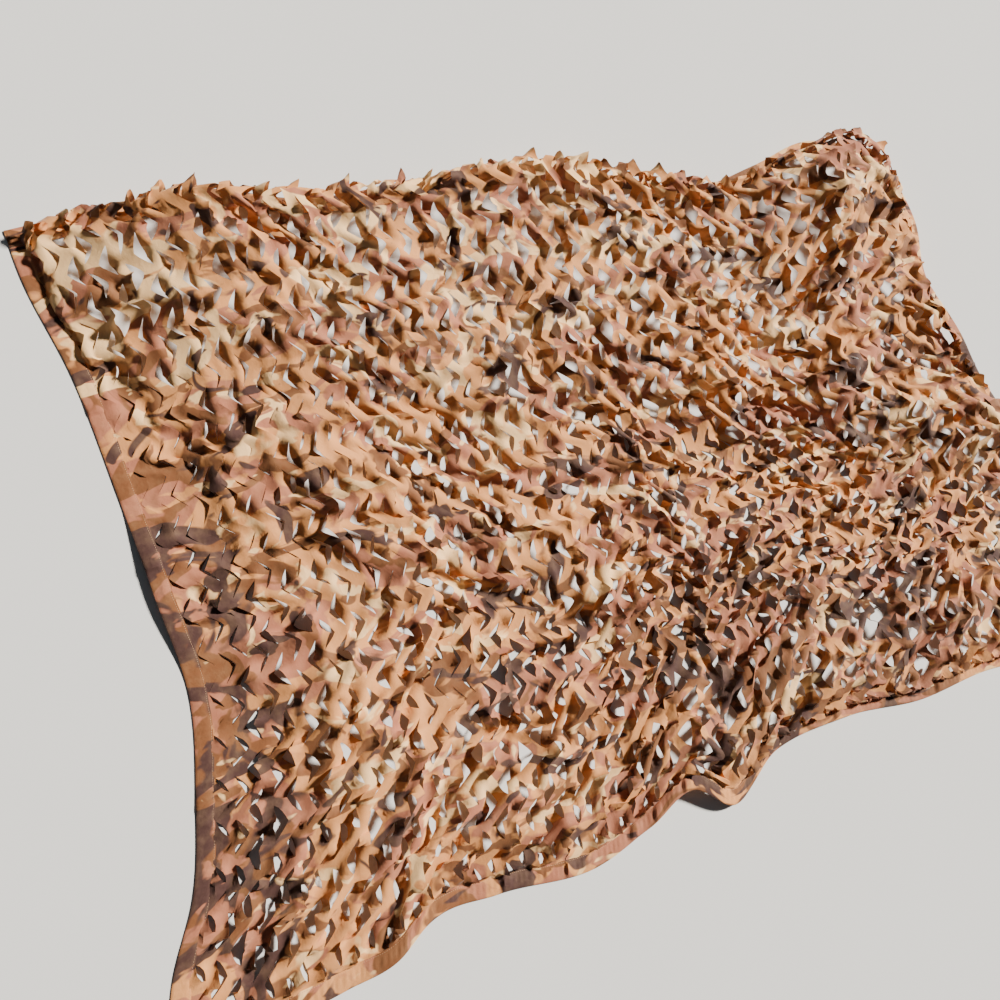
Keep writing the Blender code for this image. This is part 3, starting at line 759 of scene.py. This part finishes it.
# A point of a tape, from its place along the side, its inset and its level. The upper
# leaf puckers between the stitches and waves a little: level plus sines that bulge
# between the fold and the inner edge. A pleat is a bell, exp(-offset^2) of its height.
def tapePoint(side, along, inset, level):
    upper = fade(level - tape["upperStart"], tape["upperGrowth"])
    inward = np.clip(inset / tape["width"], 0.0, 1.0)
    bulge = np.sin(np.pi * inward)
    shift = tape["sideShift"][side]
    rates = tape["waveRates"]
    waves = sum(np.sin(along * rate + (number + 1) * shift) for number, rate in enumerate(rates))
    waves = waves / len(rates)
    turn = 2 * np.pi * along / tape["puckerLength"] + tape["puckerShift"] * waves
    pucker = np.sin(turn) * bulge ** 2
    level = level + upper * (tape["pucker"] * pucker + tape["wave"] * np.abs(waves) * bulge)
    inset = inset + upper * tape["wobble"] * waves * inward
    for place, middle, halfWidth, height in tape["pleats"]:
        if place == side:
            offset = (along - middle) / halfWidth
            offset = np.where(offset > 0, offset / tape["pleatGentle"], offset * tape["pleatSteep"])
            pinched = tape["pinchStart"] + (1 - tape["pinchStart"]) * inward
            pinch = np.exp(-offset ** 2) * upper * np.sin(np.pi * pinched) ** tape["pinchPower"]
            level = level + height * pinch
            inset = inset + tape["pinchIn"] * height * pinch
    s, t = {"front": (along, inset), "back": (along, lay["depth"] - inset),
            "left": (inset, along), "right": (lay["length"] - inset, along)}[side]
    x, y = plan(s, t)
    return np.stack([x - lay["middle"][0], y - lay["middle"][1], edgeLift(s, t) + level], -1)


# One tape: the section carried along its side of the net, then thickened.
def edgeTape(side, start, end, finish, thread):
    stations = np.linspace(start, end, int((end - start) / tape["station"]))
    section = np.array(tape["section"])
    along = np.broadcast_to(stations[:, None], (len(stations), len(section)))
    points = tapePoint(side, along, section[:, 0] + 0 * along, section[:, 1] + 0 * along)
    index = np.arange(along.size).reshape(along.shape)
    faces = np.stack([index[:-1, :-1], index[1:, :-1], index[1:, 1:], index[:-1, 1:]], -1)
    faces = faces.reshape(-1, 4)
    if side in ("front", "right"):
        faces = faces[:, ::-1]
    sewn = np.concatenate([[0.0], np.cumsum(np.linalg.norm(np.diff(section, axis=0), axis=1))])
    places = np.stack([along, sewn + 0 * along, 0 * along], -1).reshape(-1, 3)
    if side in ("left", "right"):
        places = places[:, [1, 0, 2]]
    shell, shellFaces = thicken(points.reshape(-1, 3), faces, tape["thickness"])
    name = "edgeTape" + side.capitalize()
    piece = makePiece(name, shell, shellFaces, np.tile(places, (2, 1)), finish, tape["crease"])
    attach(piece, "root")
    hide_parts("binding_" + side)
    stitches = stitching(side, start, end, thread)
    float(end - start)
    return piece


# Row of stitches along a tape's inner edge: three rings of four points each, along an
# arc that dips into the tape at both ends.
def stitching(side, start, end, thread):
    middles = np.arange(start + tape["firstStitch"], end - tape["lastStitch"], tape["stitchPitch"])
    ring = np.array([[-1, 0], [0, 1], [1, 0], [0, -1]]) * tape["thread"]
    share = np.array([-1.0, 0.0, 1.0])
    along = middles[:, None, None] + share[:, None] * tape["stitch"] / 2 + 0 * ring[:, 0]
    inset = tape["seam"] + 0 * along + ring[:, 0]
    points = tapePoint(side, along, inset, tape["stitchLevel"] + 0 * along)
    arc = tape["thread"] * (1 - tape["dip"] * share ** 2)
    points[..., 2] += ring[:, 1] + arc[:, None]
    count = len(middles)
    index = np.arange(points[..., 0].size).reshape(count, len(share), len(ring))
    turned = np.roll(index, -1, axis=2)
    around = np.stack([index[:, :-1], turned[:, :-1], turned[:, 1:], index[:, 1:]], -1)
    faces = np.concatenate([around.reshape(-1, 4), index[:, 0, ::-1], index[:, 2]])
    if side in ("front", "right"):
        faces = faces[:, ::-1]
    name = "edgeStitches" + side.capitalize()
    piece = makePiece(name, points.reshape(-1, 3), faces, None, thread, tape["threadCrease"])
    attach(piece, "root")
    return piece


sewing = {
    "dark": (176, 132, 96), "pale": (226, 186, 142),
    "twistScale": 900.0, "twistStrength": 0.4, "twistDepth": 0.0002,
    "roughness": 0.55, "roughnessRange": 0.2, "sheen": 0.3,
}


# Thread: fine noise stands for its twist, in the colour, the roughness and the bump.
def sewingThread():
    material, start = newMaterial("sewingThread")
    place = start.node("ShaderNodeTexCoord", {}, {}, 3)
    twist = start.noise(place, sewing["twistScale"])
    colour = start.over(twist, linear(*sewing["dark"]), linear(*sewing["pale"]))
    bump = start.node("ShaderNodeBump", {}, {
        "Strength": sewing["twistStrength"], "Distance": sewing["twistDepth"], "Height": twist})
    fibre = start.node("ShaderNodeBsdfPrincipled", {}, {
        "Base Color": colour, "Roughness": sewing["roughness"] + twist * sewing["roughnessRange"],
        "Normal": bump, "Sheen Weight": sewing["sheen"]})
    start.node("ShaderNodeOutputMaterial", {}, {0: fibre})
    return material


ground = {"reach": 30.0, "dark": 0.72, "pale": 0.76, "scale": 1.7, "detail": 3.0, "roughness": 0.9}


# Pale floor, with a hardly visible unevenness in its tone.
def paleFloor():
    material, start = newMaterial("paleFloor")
    place = start.node("ShaderNodeTexCoord", {}, {}, 3)
    tone = start.noise(place, ground["scale"], ground["detail"])
    colour = start.over(tone, (*[ground["dark"]] * 3, 1.0), (*[ground["pale"]] * 3, 1.0))
    finish = start.node("ShaderNodeBsdfPrincipled", {}, {
        "Base Color": colour, "Roughness": ground["roughness"]})
    start.node("ShaderNodeOutputMaterial", {}, {0: finish})
    mesh = bpy.data.meshes.new("floor")
    reach = ground["reach"]
    corners = [(-reach, -reach, 0), (reach, -reach, 0), (reach, reach, 0), (-reach, reach, 0)]
    mesh.from_pydata(corners, [], [(0, 1, 2, 3)])
    mesh.materials.append(material)
    floor = bpy.data.objects.new("floor", mesh)
    bpy.context.scene.collection.objects.link(floor)


shot = {
    "lens": 34.2, "sensor": 36.0, "farthest": 200,
    "place": (-1.3990, -0.3557, 2.6994),
    "right": (0.92379801, -0.24391891, 0.29512844),
    "up": (0.18484271, 0.95915458, 0.21413934),
    "ahead": (0.33530643, 0.14326916, -0.93115173),
    "toSun": (0.73, 0.20, 0.53), "sunDistance": 5,
    "sunStrength": 11.0, "sunSize": 0.12, "sunColour": (1.0, 0.95, 0.86),
    "sky": (0.84, 0.92, 1.0), "skyStrength": 0.062,
}


# Camera turned by its right, up and ahead directions, a soft sun and a plain sky.
def lightAndCamera():
    scene = bpy.context.scene
    camera = bpy.data.objects.new("camera", bpy.data.cameras.new("camera"))
    camera.data.lens, camera.data.sensor_width = shot["lens"], shot["sensor"]
    camera.data.clip_end = shot["farthest"]
    right, up, ahead = Vector(shot["right"]), Vector(shot["up"]), Vector(shot["ahead"])
    turned = Matrix((right, up, -ahead)).transposed().to_4x4()
    camera.matrix_world = Matrix.Translation(shot["place"]) @ turned
    scene.collection.objects.link(camera)
    scene.camera = camera
    sun = bpy.data.objects.new("sun", bpy.data.lights.new("sun", "SUN"))
    sun.data.energy, sun.data.angle = shot["sunStrength"], shot["sunSize"]
    sun.data.color = shot["sunColour"]
    sun.rotation_euler = Vector(shot["toSun"]).to_track_quat("Z", "Y").to_euler()
    sun.location = Vector(shot["toSun"]) * shot["sunDistance"]
    scene.collection.objects.link(sun)
    world = bpy.data.worlds.new("studio")
    world.use_nodes = True
    background = world.node_tree.nodes["Background"]
    background.inputs["Color"].default_value = (*shot["sky"], 1.0)
    background.inputs["Strength"].default_value = shot["skyStrength"]
    scene.world = world


lightAndCamera()
print("light and camera set")
netPrint = printedCloth("netPrint")
tapePrint = printedCloth("tapePrint", printed["tapeShadeAndDarker"])
thread = sewingThread()
paleFloor()
print("finishes and floor made")
length, depth = lay["length"], lay["depth"]
alongNet = (-tape["overhang"], length + tape["overhang"])
acrossNet = (tape["joint"], depth - tape["joint"])
sides = {"front": alongNet, "back": alongNet, "left": acrossNet, "right": acrossNet}
tapes = [edgeTape(side, start, end, tapePrint, thread) for side, (start, end) in sides.items()]
print("edge tapes and their stitching made")
place, flat, tied, widths = layCloth()
half = place.shape[0] // 2
for name, first, last in (("cutClothLeft", 0, half), ("cutClothRight", half, place.shape[0])):
    piece = clothPiece(name, place, flat, tied, first, last, netPrint)
    print(name, "made of", last - first, "strips")
